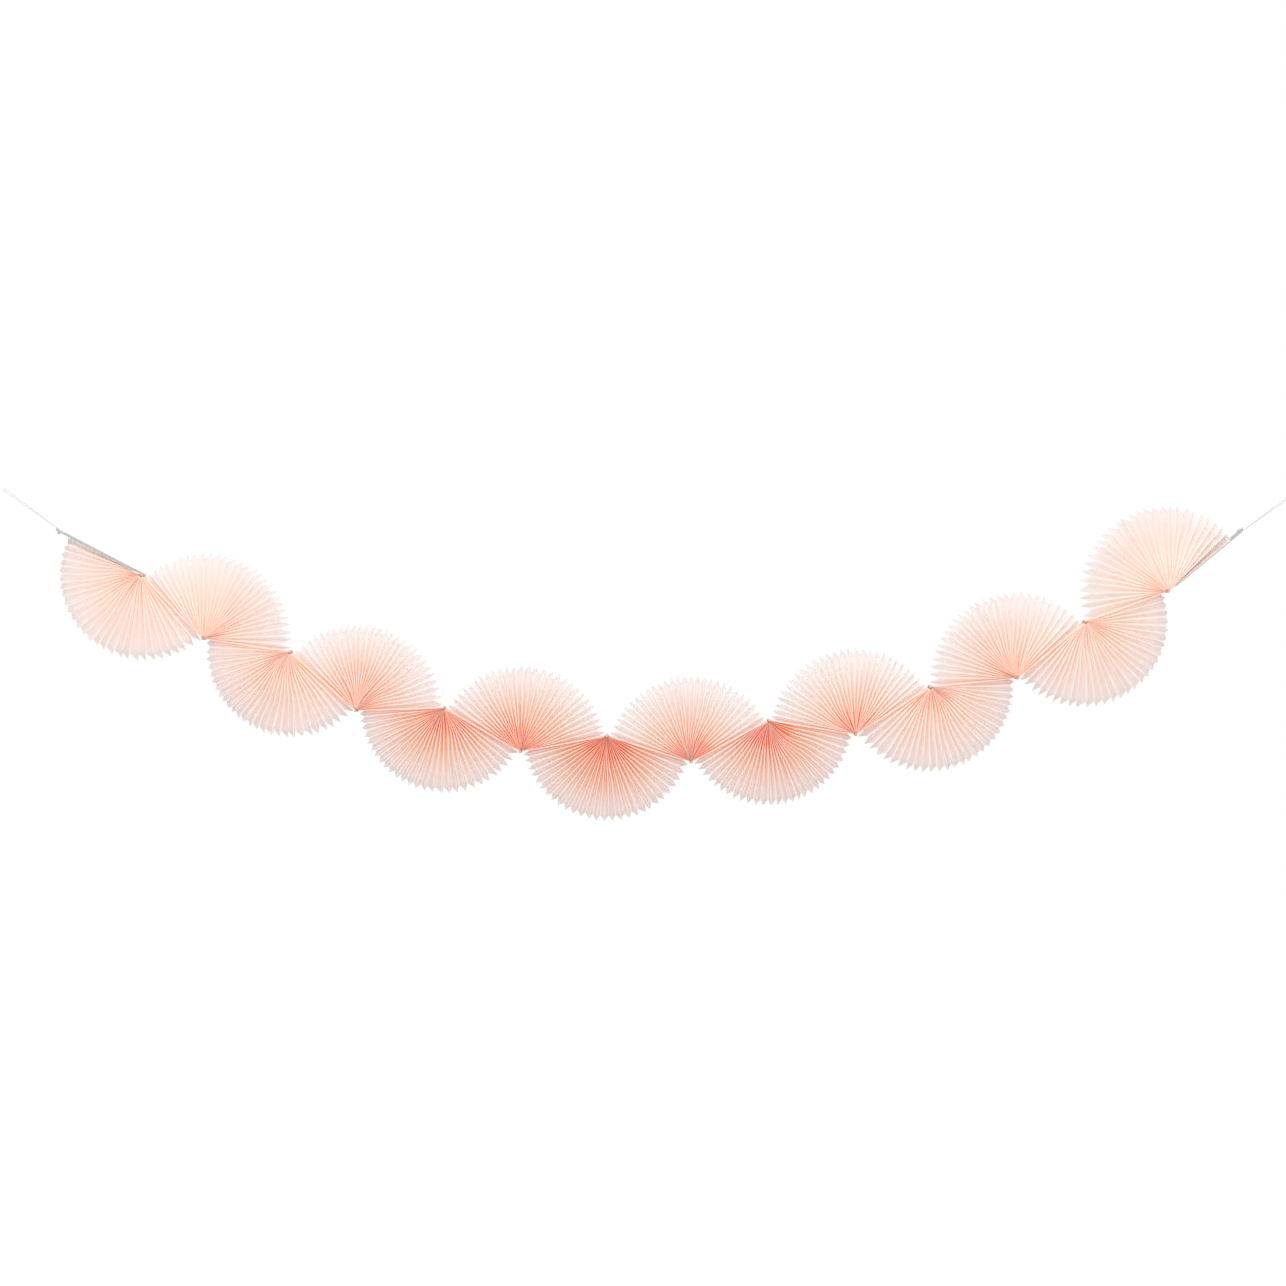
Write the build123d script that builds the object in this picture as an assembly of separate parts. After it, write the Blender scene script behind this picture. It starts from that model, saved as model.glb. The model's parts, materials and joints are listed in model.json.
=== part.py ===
from build123d import *

import math
import os

# Paper fan garland: fourteen pleated tissue fans in one zigzag, hung by a cord loop at each end.
# Millimetres. X runs along the garland, Y is its depth and Z is up. Every pleat opens about an axis
# along Y. The origin is the middle of the left loop's eye, where the nail goes.

# The strip and its pleats
LINK_LENGTH = 127.0            # from one glued pivot to the next, the width of a five inch strip
PLEAT_DEPTH = 25.0             # width of one leaf, from its front fold to its back fold
PLEATS = 28                    # pleats in one fan, each a leaf to the back and a leaf to the front
TISSUE = 0.25                  # depth that the sheet takes up along Y
TIP_SHORT_OF_PIVOT = 3.0       # from the rim's tips to the next pivot
TOOTH = 9.5                    # how much further the back folds reach than the front folds
FRONT_SETBACK = 3.2            # how much further out the front folds leave the glue than the back folds

# Glued places
BEAD_RADIUS = 2.5
BEAD_INSET = 1.0               # how far each end of a glue bead stays inside the pleats
SEAT_GAP = 0.3                 # clearance between pieces that move or bend past each other
END_LEAF = 0.3                 # thickness of two end leaves glued back to back

# End cards
CARD_LENGTH = 142.0
CARD_THICKNESS = 1.5
CARD_START = 4.0               # from the pivot to the card's inner end
CARD_INNER_BEVEL = 12.0        # how much further out the card's front edge starts than its back edge
CARD_OUTER_BEVEL = 9.5         # how much earlier the card's front edge ends than its back edge
HOLE_TO_END = 10.0             # from the hole's middle to the card's outer corner

# Hanging loops
CORD_RADIUS = 0.5
LOOP_LENGTH = 99.0             # from the card's hole to the middle of the eye
EYE_RADIUS = 1.7               # of the cord's centre line round the nail
STRAND_GAP = 0.4               # between the two strands where they pass the hole
KNOT_OVERSIZE = 0.5            # how much wider than the hole the knot is, at each side
KNOT_BEVEL = 1.0
CORD_BEND = 1.5                # of the centre line where the tight cord turns over the card
EYE_BEND_SHARE = 0.9           # of the eye's radius, in the two bends round the nail

# Headings in degrees above +X, read off the photograph from left to right
LEFT_LOOP_HEADING = -37.4
LEFT_CARD_HEADING = -27.5
LINK_HEADINGS = [-46.0, -9.0, -41.5, 1.5, -29.5, 10.0, -17.0, 28.0, -9.0, 32.5, 6.0, 39.5, 20.5]
RIGHT_CARD_HEADING = 39.5
RIGHT_LOOP_HEADING = 35.0

HEADINGS = [LEFT_CARD_HEADING, *LINK_HEADINGS, RIGHT_CARD_HEADING]
FANS = len(HEADINGS) - 1
TIP_RADIUS = LINK_LENGTH - TIP_SHORT_OF_PIVOT
NOTCH_RADIUS = TIP_RADIUS - TOOTH
BACK_FOLD_START = BEAD_RADIUS + SEAT_GAP
FRONT_FOLD_START = BACK_FOLD_START + FRONT_SETBACK
HALF_DEPTH = PLEAT_DEPTH / 2
CARD_REACH = CARD_START + CARD_LENGTH
HOLE_REACH = CARD_REACH - HOLE_TO_END
CARD_INNER_FACE = -END_LEAF / 2
CARD_OUTER_FACE = CARD_INNER_FACE - CARD_THICKNESS
STRAND_SPREAD = CORD_RADIUS + STRAND_GAP / 2
HOLE_RADIUS = STRAND_SPREAD + CORD_RADIUS + SEAT_GAP
KNOT_RADIUS = HOLE_RADIUS + KNOT_OVERSIZE


def along(start, heading, length):
    """The point that lies a length from start, in a heading above +X."""
    turn = math.radians(heading)
    return start + Vector(math.cos(turn), 0, math.sin(turn)) * length


def strip_plane(start, heading):
    """Plane of a leaf from start in a heading: x along the leaf, y its depth, z out of its upper side."""
    turn = math.radians(heading)
    return Plane(
        origin=start,
        x_dir=(math.cos(turn), 0, math.sin(turn)),
        z_dir=(-math.sin(turn), 0, math.cos(turn)),
    )


def panel(plane, back_edge, front_edge, bottom, thickness):
    """A flat four sided panel: each edge is its start and end along the plane's x, bottom is its lower z."""
    outline = Polygon(
        (back_edge[0], HALF_DEPTH),
        (front_edge[0], -HALF_DEPTH),
        (front_edge[1], -HALF_DEPTH),
        (back_edge[1], HALF_DEPTH),
        align=None,
    )
    return plane.location * Pos(0, 0, bottom) * extrude(outline, thickness)


def fold_heading(start, side, opening, share, radius):
    """Heading of a fold at a radius: a share of what both end leaves and gaps leave of the opening."""
    margin = math.degrees(math.asin((END_LEAF / 2 + SEAT_GAP) / radius))
    return start + side * (margin + share * (opening - 2 * margin))


def fold_depth(radius, opening):
    """Half the depth of the pleats at a radius, where a leaf of fixed width leans over by half a pleat."""
    lean = math.radians(opening) * radius / (2 * PLEATS)
    return math.sqrt(PLEAT_DEPTH**2 - lean**2) / 2


def pleated_fan(pivot, start, side, opening):
    """One fan as a closed sheet: a zigzag of front and back folds, given a depth of tissue along Y."""
    front, back = [], []
    for fold in range(2 * PLEATS + 1):
        share = fold / (2 * PLEATS)
        at_back = fold % 2 == 1
        inner = BACK_FOLD_START if at_back else FRONT_FOLD_START
        outer = TIP_RADIUS if at_back else NOTCH_RADIUS
        ends = []
        for radius in (inner, outer):
            heading = fold_heading(start, side, opening, share, radius)
            depth = fold_depth(radius, opening) * (1 if at_back else -1)
            ends.append(along(pivot, heading, radius) + Vector(0, depth, 0))
        front.append([end - Vector(0, TISSUE / 2, 0) for end in ends])
        back.append([end + Vector(0, TISSUE / 2, 0) for end in ends])
    faces = []
    for fold in range(2 * PLEATS):
        for sheet in (front, back):
            inner_a, outer_a = sheet[fold]
            inner_b, outer_b = sheet[fold + 1]
            faces.append(Face(Wire.make_polygon([inner_a, outer_a, outer_b])))
            faces.append(Face(Wire.make_polygon([inner_a, outer_b, inner_b])))
        for end in (0, 1):
            edge = [front[fold][end], front[fold + 1][end], back[fold + 1][end], back[fold][end]]
            faces.append(Face(Wire.make_polygon(edge)))
    for fold in (0, 2 * PLEATS):
        edge = [front[fold][0], front[fold][1], back[fold][1], back[fold][0]]
        faces.append(Face(Wire.make_polygon(edge)))
    return Solid(Shell(faces))


def glue_bead(pivot):
    """The line of set glue that holds the ends of all the leaves of one fan, on the fan's axis."""
    return Pos(pivot) * Rot(90, 0, 0) * Cylinder(BEAD_RADIUS, PLEAT_DEPTH - 2 * BEAD_INSET)


def flat_leaf(plane, back_end, front_end):
    """A flat leaf from a pivot: two end leaves glued back to back, or the last leaf on its card."""
    back_edge = (BACK_FOLD_START, back_end)
    front_edge = (FRONT_FOLD_START, front_end)
    return panel(plane, back_edge, front_edge, -END_LEAF / 2, END_LEAF)


def end_card(plane):
    """A chipboard end card on the outer face of the last leaf, with slanted ends and one punched hole."""
    back_edge = (CARD_START, CARD_REACH)
    front_edge = (CARD_START + CARD_INNER_BEVEL, CARD_REACH - CARD_OUTER_BEVEL)
    card = panel(plane, back_edge, front_edge, CARD_OUTER_FACE, CARD_THICKNESS)
    middle = (CARD_INNER_FACE + CARD_OUTER_FACE) / 2
    punch = Pos(HOLE_REACH, 0, middle) * Cylinder(HOLE_RADIUS, 2 * CARD_THICKNESS)
    return card - plane.location * punch


def knot_location(plane):
    """Place of the knot, which sits on the mouth of the hole on the card's inner side."""
    return plane.location * Pos(HOLE_REACH, 0, CARD_INNER_FACE + KNOT_RADIUS)


def hanging_loop(plane, eye, name):
    """A doubled cord from the knot, through the hole, over the card and round the eye, and back."""
    over = plane.from_local_coords(Vector(HOLE_REACH, 0, CARD_OUTER_FACE - CORD_RADIUS - SEAT_GAP))
    run = (eye - over).normalized()
    across = run.cross(Vector(0, 1, 0))
    knot = knot_location(plane).position
    side = Vector(0, STRAND_SPREAD, 0)
    points = [
        knot - side,
        over - side,
        eye + run * EYE_RADIUS + across * EYE_RADIUS,
        eye + run * EYE_RADIUS - across * EYE_RADIUS,
        over + side,
        knot + side,
    ]
    eye_bend = EYE_BEND_SHARE * EYE_RADIUS
    radii = [CORD_BEND, eye_bend, eye_bend, CORD_BEND]
    path = FilletPolyline(*points, radius=radii)
    section = Plane(origin=path @ 0, z_dir=path % 0) * Circle(CORD_RADIUS)
    cord = sweep(section, path=path, transition=Transition.RIGHT)
    filled = cord.volume / (math.pi * CORD_RADIUS**2 * path.length)
    print(f"{name}: cord {path.length:.1f} long, bends {radii}, volume {filled:.4f} of the whole")
    return cord


def loop_knot(plane):
    """The pulled tight knot that keeps both ends of a loop behind its card, as long as it is wide."""
    body = Cylinder(KNOT_RADIUS, 2 * KNOT_RADIUS)
    return knot_location(plane) * chamfer(body.edges(), KNOT_BEVEL)


def build():
    """Every piece of the garland by name."""
    eye = Vector(0, 0, 0)
    left_hole = along(eye, LEFT_LOOP_HEADING, LOOP_LENGTH)
    pivots = [along(left_hole, LEFT_CARD_HEADING, HOLE_REACH)]
    for heading in LINK_HEADINGS:
        pivots.append(along(pivots[-1], heading, LINK_LENGTH))
    pieces = {}
    for number, pivot in enumerate(pivots, 1):
        side = 1 if number % 2 else -1
        before = HEADINGS[number - 1]
        opening = 180 + side * (HEADINGS[number] - before)
        pieces[f"fan_{number:02d}"] = pleated_fan(pivot, before + 180, side, opening)
        pieces[f"glue_bead_{number:02d}"] = glue_bead(pivot)
        print(f"fan {number}: pivot {pivot.X:.3f}, {pivot.Z:.3f}, opening {opening:.1f}")
    for number, heading in enumerate(LINK_HEADINGS, 1):
        plane = strip_plane(pivots[number - 1], heading)
        leaf = flat_leaf(plane, LINK_LENGTH - BEAD_RADIUS, LINK_LENGTH - FRONT_FOLD_START)
        pieces[f"shared_leaf_{number:02d}_{number + 1:02d}"] = leaf
    left = strip_plane(pivots[0], LEFT_CARD_HEADING + 180)
    right = strip_plane(pivots[-1], RIGHT_CARD_HEADING)
    right_hole = right.from_local_coords(Vector(HOLE_REACH, 0, 0))
    right_eye = along(right_hole, RIGHT_LOOP_HEADING, LOOP_LENGTH)
    # both planes point out from the garland with the fan on their upper side, so a card is on the lower side
    for name, plane, far_eye in (("left", left, eye), ("right", right, right_eye)):
        pieces[f"{name}_end_leaf"] = flat_leaf(plane, TIP_RADIUS, NOTCH_RADIUS)
        pieces[f"{name}_end_card"] = end_card(plane)
        pieces[f"{name}_hanging_loop"] = hanging_loop(plane, far_eye, name)
        pieces[f"{name}_loop_knot"] = loop_knot(plane)
    print(f"right eye {right_eye.X:.3f}, {right_eye.Z:.3f}")
    return pieces


os.makedirs("parts", exist_ok=True)
for name, piece in build().items():
    piece.label = name
    export_step(piece, f"parts/{name}.step")
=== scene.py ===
"""Paper fan garland: fourteen pleated tissue fans in one zigzag, hung by a cord loop at each end.

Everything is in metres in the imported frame: X along the garland, Y its depth and Z up.
"""
import json
import logging
import math
from dataclasses import dataclass, field
from enum import Enum
from typing import Optional

import bpy
import numpy as np
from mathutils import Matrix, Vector

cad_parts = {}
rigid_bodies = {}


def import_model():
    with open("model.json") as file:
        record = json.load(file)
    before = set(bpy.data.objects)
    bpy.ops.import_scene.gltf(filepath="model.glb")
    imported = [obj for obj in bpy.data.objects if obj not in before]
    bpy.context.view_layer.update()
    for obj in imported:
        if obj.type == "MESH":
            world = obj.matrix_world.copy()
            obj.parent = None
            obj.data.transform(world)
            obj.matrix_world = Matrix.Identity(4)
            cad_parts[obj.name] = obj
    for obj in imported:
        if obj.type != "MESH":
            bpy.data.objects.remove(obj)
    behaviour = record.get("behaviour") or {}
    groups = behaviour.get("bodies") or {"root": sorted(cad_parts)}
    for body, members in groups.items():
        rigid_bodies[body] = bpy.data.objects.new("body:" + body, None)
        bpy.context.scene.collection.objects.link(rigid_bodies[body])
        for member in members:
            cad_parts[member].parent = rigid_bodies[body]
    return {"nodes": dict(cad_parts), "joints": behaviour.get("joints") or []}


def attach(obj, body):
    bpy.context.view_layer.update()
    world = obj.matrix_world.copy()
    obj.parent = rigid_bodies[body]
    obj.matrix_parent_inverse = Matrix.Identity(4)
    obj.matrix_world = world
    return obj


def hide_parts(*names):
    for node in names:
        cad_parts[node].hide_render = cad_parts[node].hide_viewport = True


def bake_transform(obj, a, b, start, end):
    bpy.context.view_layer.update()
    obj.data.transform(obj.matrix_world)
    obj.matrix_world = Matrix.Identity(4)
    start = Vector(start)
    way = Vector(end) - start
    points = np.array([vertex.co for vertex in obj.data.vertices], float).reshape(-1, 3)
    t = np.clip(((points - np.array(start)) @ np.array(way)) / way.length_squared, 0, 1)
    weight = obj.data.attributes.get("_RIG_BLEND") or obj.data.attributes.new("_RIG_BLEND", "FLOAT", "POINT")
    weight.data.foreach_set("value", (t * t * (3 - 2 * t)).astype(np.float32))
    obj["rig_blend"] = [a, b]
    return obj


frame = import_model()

LOG = logging.getLogger("garland")
SEED = 1407
MM = 0.001

# The same sizes as the source's, in metres
LINK_LENGTH = 127.0 * MM
PLEAT_DEPTH = 25.0 * MM
PLEATS = 28
LEAVES = 2 * PLEATS
TISSUE = 0.25 * MM
TIP_RADIUS = 124.0 * MM
NOTCH_RADIUS = 114.5 * MM
BEAD_RADIUS = 2.5 * MM
BEAD_INSET = 1.0 * MM
BACK_FOLD_START = 2.8 * MM
FRONT_FOLD_START = 6.0 * MM
END_LEAF = 0.3 * MM
CARD_THICKNESS = 1.5 * MM
HOLE_REACH = 136.0 * MM
CORD_RADIUS = 0.5 * MM
STRAND_SPREAD = 0.7 * MM
LOOP_LENGTH = 99.0 * MM
EYE_RADIUS = 1.7 * MM
KNOT_RADIUS = 2.0 * MM
SEAT_GAP = 0.3 * MM
LEFT_CARD_HEADING = -27.5
RIGHT_CARD_HEADING = 39.5
RIGHT_LOOP_HEADING = 35.0

Colour = tuple[float, float, float, float]


class Slot(Enum):
    """The record's material slots."""

    TISSUE = "tissue"
    GLUE = "glue"
    CHIPBOARD = "chipboard"
    CORD = "cord"


class End(Enum):
    """The two ends of the garland."""

    LEFT = "left"
    RIGHT = "right"


class Bench:
    """Places and joins the nodes of one shader tree."""

    def __init__(self, tree: bpy.types.NodeTree) -> None:
        """Takes a tree and clears it.

        Args:
            tree: the material's or group's node tree.
        """
        self.tree = tree
        tree.nodes.clear()

    def add(self, kind: str, inputs: Optional[dict] = None, **settings) -> bpy.types.Node:
        """Adds one node.

        Args:
            kind: the node's Blender type name.
            inputs: socket name or number to a value, or to another node's output to join.
            settings: attributes of the node.

        Returns:
            The node.
        """
        node = self.tree.nodes.new(kind)
        for name, value in settings.items():
            setattr(node, name, value)
        for key, value in (inputs or {}).items():
            if isinstance(value, bpy.types.NodeSocket):
                self.tree.links.new(value, node.inputs[key])
            else:
                node.inputs[key].default_value = value
        return node

    def math(self, operation: str, *values, clamp: bool = False) -> bpy.types.NodeSocket:
        """Adds a Math node.

        Args:
            operation: the operation's name.
            values: numbers or sockets, in order.
            clamp: keeps the result from 0 to 1.

        Returns:
            Its output.
        """
        inputs = dict(enumerate(values))
        return self.add("ShaderNodeMath", inputs, operation=operation, use_clamp=clamp).outputs[0]

    def ramp(self, value, low, high) -> bpy.types.NodeSocket:
        """A smooth step of value from 0 at low to 1 at high."""
        inputs = {"Value": value, "From Min": low, "From Max": high}
        node = self.add("ShaderNodeMapRange", inputs, interpolation_type="SMOOTHSTEP")
        return node.outputs["Result"]

    def mix(self, share, one, other, blend: str = "MIX") -> bpy.types.NodeSocket:
        """Mixes two colours.

        Args:
            share: how much of the second colour, a number or a socket.
            one: the first colour.
            other: the second colour.
            blend: how they mix.

        Returns:
            The colour's output.
        """
        node = self.add("ShaderNodeMix", data_type="RGBA", blend_type=blend)
        for socket, value in ((node.inputs[0], share), (node.inputs[6], one), (node.inputs[7], other)):
            if isinstance(value, bpy.types.NodeSocket):
                self.tree.links.new(value, socket)
            else:
                socket.default_value = value
        return node.outputs[2]


def new_group(name: str, inputs: dict[str, str], outputs: dict[str, str]) -> tuple[Bench, bpy.types.Node]:
    """Makes an empty shader group with its sockets.

    Args:
        name: the group's name.
        inputs: socket name to its type.
        outputs: socket name to its type.

    Returns:
        The group's bench and its input node.
    """
    tree = bpy.data.node_groups.new(name, "ShaderNodeTree")
    for way, sockets in (("INPUT", inputs), ("OUTPUT", outputs)):
        for label, kind in sockets.items():
            tree.interface.new_socket(label, in_out=way, socket_type=kind)
    bench = Bench(tree)
    return bench, bench.add("NodeGroupInput")


FLOAT, COLOR, VECTOR = "NodeSocketFloat", "NodeSocketColor", "NodeSocketVector"


def paper_fibre_group() -> bpy.types.NodeTree:
    """Paper's look: soft clouds where the pulp lies thicker, and thin curled fibres.

    Clouds are low noise. A fibre lies where a strongly bent noise crosses its middle value.

    Returns:
        The group: Clouds and Fibres from 0 to 1, and a Height for a bump.
    """
    bench, given = new_group(
        "paper fibres",
        {"Vector": VECTOR, "Cloud Scale": FLOAT, "Fibre Scale": FLOAT},
        {"Clouds": FLOAT, "Fibres": FLOAT, "Height": FLOAT},
    )
    clouds = bench.add(
        "ShaderNodeTexNoise",
        {"Vector": given.outputs["Vector"], "Scale": given.outputs["Cloud Scale"], "Detail": 3.0},
    )
    bent = bench.add(
        "ShaderNodeTexNoise",
        {
            "Vector": given.outputs["Vector"],
            "Scale": given.outputs["Fibre Scale"],
            "Detail": 1.0,
            "Distortion": 2.2,
        },
    )
    off_middle = bench.math("ABSOLUTE", bench.math("SUBTRACT", bent.outputs["Fac"], 0.5))
    fibres = bench.math("SUBTRACT", 1.0, bench.ramp(off_middle, 0.0, 0.035))
    height = bench.math("ADD", bench.math("MULTIPLY", fibres, 0.6), clouds.outputs["Fac"])
    out = bench.add("NodeGroupOutput")
    for name, socket in (("Clouds", clouds.outputs["Fac"]), ("Fibres", fibres), ("Height", height)):
        bench.tree.links.new(socket, out.inputs[name])
    return bench.tree


def depth_tint_group() -> bpy.types.NodeTree:
    """The painted light and shade of many leaves together: the pink is painted deeper from the rim to the pivot
    and from crest to valley, where light passed between the leaves deepens it.

    Reach is 0 at the pivot and 1 at the tips. Valley is 0 on a front fold and 1 on a back fold.
    Edge is 1 on the cut rim of the leaves. The next input is how much paler the fan is painted there, a
    painted light, and the last how much painted shade deepens the valleys towards Deep by the pivot.
    The front folds' ridges are painted a deeper tint, most of all by the pivot, for the coloured light
    that comes through them, which the colour Fold gives there and Ridge farther out. The teeth's tips
    are painted greyer, a painted shade.

    Returns:
        The group, which gives one colour.
    """
    bench, given = new_group(
        "pleat depth tint",
        {
            "Reach": FLOAT,
            "Valley": FLOAT,
            "Edge": FLOAT,
            "Fade": FLOAT,
            "Pivot_Shade": FLOAT,
            "Rim": COLOR,
            "Middle": COLOR,
            "Near": COLOR,
            "Deep": COLOR,
            "Fold": COLOR,
            "Ridge": COLOR,
            "Cut": COLOR,
        },
        {"Color": COLOR},
    )
    reach, valley = given.outputs["Reach"], given.outputs["Valley"]
    inner = bench.math("SUBTRACT", 1.0, bench.ramp(reach, 0.2, 0.42))
    outer = bench.ramp(reach, 0.35, 1.0)
    # painted light: the body goes from Rim to Middle to Near, deeper towards the pivot as light passed between the
    # leaves makes it
    body = bench.mix(outer, given.outputs["Middle"], given.outputs["Rim"])
    body = bench.mix(inner, body, given.outputs["Near"])
    pale = bench.math("SUBTRACT", 1.0, outer)
    # painted shade: the valleys deepen towards Deep, most of all by the pivot
    folded = bench.math("MULTIPLY", bench.math("MULTIPLY", valley, pale), bench.math("MULTIPLY", valley, pale))
    walls = bench.math("MULTIPLY", inner, bench.ramp(valley, 0.0, 0.45))
    walls = bench.math("MULTIPLY", walls, given.outputs["Pivot_Shade"])
    share = bench.math("MAXIMUM", walls, bench.math("MULTIPLY", folded, 0.42))
    tint = bench.mix(share, body, given.outputs["Deep"])
    # painted light: the front folds' crests take the tint of the coloured light that comes through them
    ridge = bench.math("SUBTRACT", 1.0, bench.ramp(valley, 0.0, 0.06))
    ridge = bench.math("MULTIPLY", ridge, bench.math("MULTIPLY_ADD", outer, -0.5, 1.0))
    ridge_tint = bench.mix(bench.ramp(reach, 0.1, 0.45), given.outputs["Fold"], given.outputs["Ridge"])
    tint = bench.mix(ridge, tint, ridge_tint)
    # painted light: a fan that is painted paler is mixed towards white
    tint = bench.mix(given.outputs["Fade"], tint, (1, 1, 1, 1))
    # painted shade: the teeth's tips and the cut rim go towards the greyer Cut
    tip = bench.math("MULTIPLY", bench.ramp(reach, 0.88, 0.98), 0.6)
    tint = bench.mix(bench.math("MAXIMUM", given.outputs["Edge"], tip), tint, given.outputs["Cut"])
    out = bench.add("NodeGroupOutput")
    bench.tree.links.new(tint, out.inputs["Color"])
    return bench.tree


@dataclass
class Groups:
    """The shader groups that several finishes share."""

    fibres: bpy.types.NodeTree = field(default_factory=paper_fibre_group)
    tint: bpy.types.NodeTree = field(default_factory=depth_tint_group)


def attribute(bench: Bench, name: str) -> bpy.types.NodeSocket:
    """The value of a piece's own attribute."""
    return bench.add("ShaderNodeAttribute", attribute_name=name, attribute_type="GEOMETRY").outputs["Fac"]


@dataclass(frozen=True)
class TissueFinish:
    """Thin dyed tissue paper, which lets light through."""

    name: str
    rim: Colour
    middle: Colour
    near: Colour
    deep: Colour
    fold: Colour
    ridge: Colour
    cut: Colour
    through: Colour
    see_through: float = 0.6

    def material(self, groups: Groups) -> bpy.types.Material:
        """Builds the material: a matt leaf mixed with a translucent one.

        Args:
            groups: the shared shader groups.

        Returns:
            The material.
        """
        made = bpy.data.materials.new(self.name)
        made.use_nodes = True
        bench = Bench(made.node_tree)
        place = bench.add("ShaderNodeTexCoord").outputs["Object"]
        fibres = bench.add("ShaderNodeGroup", node_tree=groups.fibres)
        bench.tree.links.new(place, fibres.inputs["Vector"])
        fibres.inputs["Cloud Scale"].default_value = 260.0
        fibres.inputs["Fibre Scale"].default_value = 420.0
        tint = bench.add("ShaderNodeGroup", node_tree=groups.tint)
        for socket in ("Reach", "Valley", "Edge", "Fade", "Pivot_Shade"):
            bench.tree.links.new(attribute(bench, socket.lower()), tint.inputs[socket])
        for socket in ("Rim", "Middle", "Near", "Deep", "Fold", "Ridge", "Cut"):
            tint.inputs[socket].default_value = getattr(self, socket.lower())
        cloudy = bench.math("MULTIPLY_ADD", fibres.outputs["Clouds"], 0.05, 0.97)
        paler = bench.math("MULTIPLY_ADD", fibres.outputs["Fibres"], 0.03, cloudy)
        # where the dye lies thinner, green and blue come back stronger and red hardly changes
        dye = bench.add("ShaderNodeCombineColor", {0: 1.0, 1: paler, 2: paler}).outputs[0]
        colour = bench.mix(1.0, tint.outputs["Color"], dye, "MULTIPLY")
        # a bumpy wall swallows light, which would blacken the narrow pleats by the pivot
        smooth = bench.ramp(attribute(bench, "reach"), 0.2, 0.75)
        height = bench.math("MULTIPLY", fibres.outputs["Height"], smooth)
        bump = bench.add("ShaderNodeBump", {"Strength": 0.35, "Distance": 0.00012, "Height": height})
        rough = bench.math("MULTIPLY_ADD", fibres.outputs["Clouds"], 0.2, 0.68)
        matt = bench.add(
            "ShaderNodeBsdfPrincipled",
            {
                "Base Color": colour,
                "Roughness": rough,
                "Normal": bump.outputs["Normal"],
                "Specular IOR Level": 0.03,
            },
        )
        passed = bench.mix(1.0, colour, self.through, "MULTIPLY")
        through = bench.add("ShaderNodeBsdfTranslucent", {"Color": passed})
        both = bench.add(
            "ShaderNodeMixShader",
            {0: self.see_through, 1: matt.outputs[0], 2: through.outputs[0]},
        )
        out = bench.add("ShaderNodeOutputMaterial")
        bench.tree.links.new(both.outputs[0], out.inputs["Surface"])
        return made


@dataclass(frozen=True)
class PlainFinish:
    """A finish with a base colour, a darker and a paler shade of it, and paper or thread texture."""

    name: str
    colour: Colour
    shade: Colour
    cloud_scale: float
    fibre_scale: float
    fibre_share: float
    roughness: float
    bump: float
    specular: float = 0.3

    def material(self, groups: Groups) -> bpy.types.Material:
        """Builds the material.

        Args:
            groups: the shared shader groups.

        Returns:
            The material.
        """
        made = bpy.data.materials.new(self.name)
        made.use_nodes = True
        bench = Bench(made.node_tree)
        place = bench.add("ShaderNodeTexCoord").outputs["Object"]
        fibres = bench.add("ShaderNodeGroup", node_tree=groups.fibres)
        bench.tree.links.new(place, fibres.inputs["Vector"])
        fibres.inputs["Cloud Scale"].default_value = self.cloud_scale
        fibres.inputs["Fibre Scale"].default_value = self.fibre_scale
        clouded = bench.mix(bench.ramp(fibres.outputs["Clouds"], 0.3, 0.7), self.shade, self.colour)
        share = bench.math("MULTIPLY", fibres.outputs["Fibres"], self.fibre_share)
        colour = bench.mix(share, clouded, self.shade)
        bump = bench.add(
            "ShaderNodeBump",
            {"Strength": 0.5, "Distance": self.bump, "Height": fibres.outputs["Height"]},
        )
        rough = bench.math("MULTIPLY_ADD", fibres.outputs["Clouds"], 0.15, self.roughness)
        shader = bench.add(
            "ShaderNodeBsdfPrincipled",
            {
                "Base Color": colour,
                "Roughness": rough,
                "Normal": bump.outputs["Normal"],
                "Specular IOR Level": self.specular,
            },
        )
        out = bench.add("ShaderNodeOutputMaterial")
        bench.tree.links.new(shader.outputs[0], out.inputs["Surface"])
        return made


def polar(pivot: np.ndarray, heading: np.ndarray, radius: np.ndarray, depth: np.ndarray) -> np.ndarray:
    """Points at a heading in degrees above +X and a radius from a pivot, and at a depth along Y.

    Args:
        pivot: the pivot's point.
        heading: headings in degrees.
        radius: radii, the same shape.
        depth: Y from the pivot, the same shape.

    Returns:
        An array with three numbers more per place.
    """
    turn = np.radians(heading)
    return pivot + np.stack([radius * np.cos(turn), depth, radius * np.sin(turn)], axis=-1)


def smooth_step(value: np.ndarray, low: float, high: float) -> np.ndarray:
    """A smooth step from 0 at low to 1 at high."""
    share = np.clip((value - low) / (high - low), 0, 1)
    return share * share * (3 - 2 * share)


def grid_faces(rows: int, columns: int, first: int, flipped: bool) -> np.ndarray:
    """The quads of a grid whose points are numbered row by row.

    Args:
        rows: points along the first way.
        columns: points along the second way.
        first: number of the first point.
        flipped: turns every face over.

    Returns:
        One row of four point numbers per quad.
    """
    at = first + np.arange(rows * columns).reshape(rows, columns)
    quads = np.stack([at[:-1, :-1], at[1:, :-1], at[1:, 1:], at[:-1, 1:]], axis=-1).reshape(-1, 4)
    return quads[:, ::-1] if flipped else quads


def border(rows: int, columns: int) -> np.ndarray:
    """Numbers of a grid's outermost points, in one closed round that starts at the first point."""
    at = np.arange(rows * columns).reshape(rows, columns)
    return np.concatenate([at[:-1, 0], at[-1, :-1], at[:0:-1, -1], at[0, :0:-1]])


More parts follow.
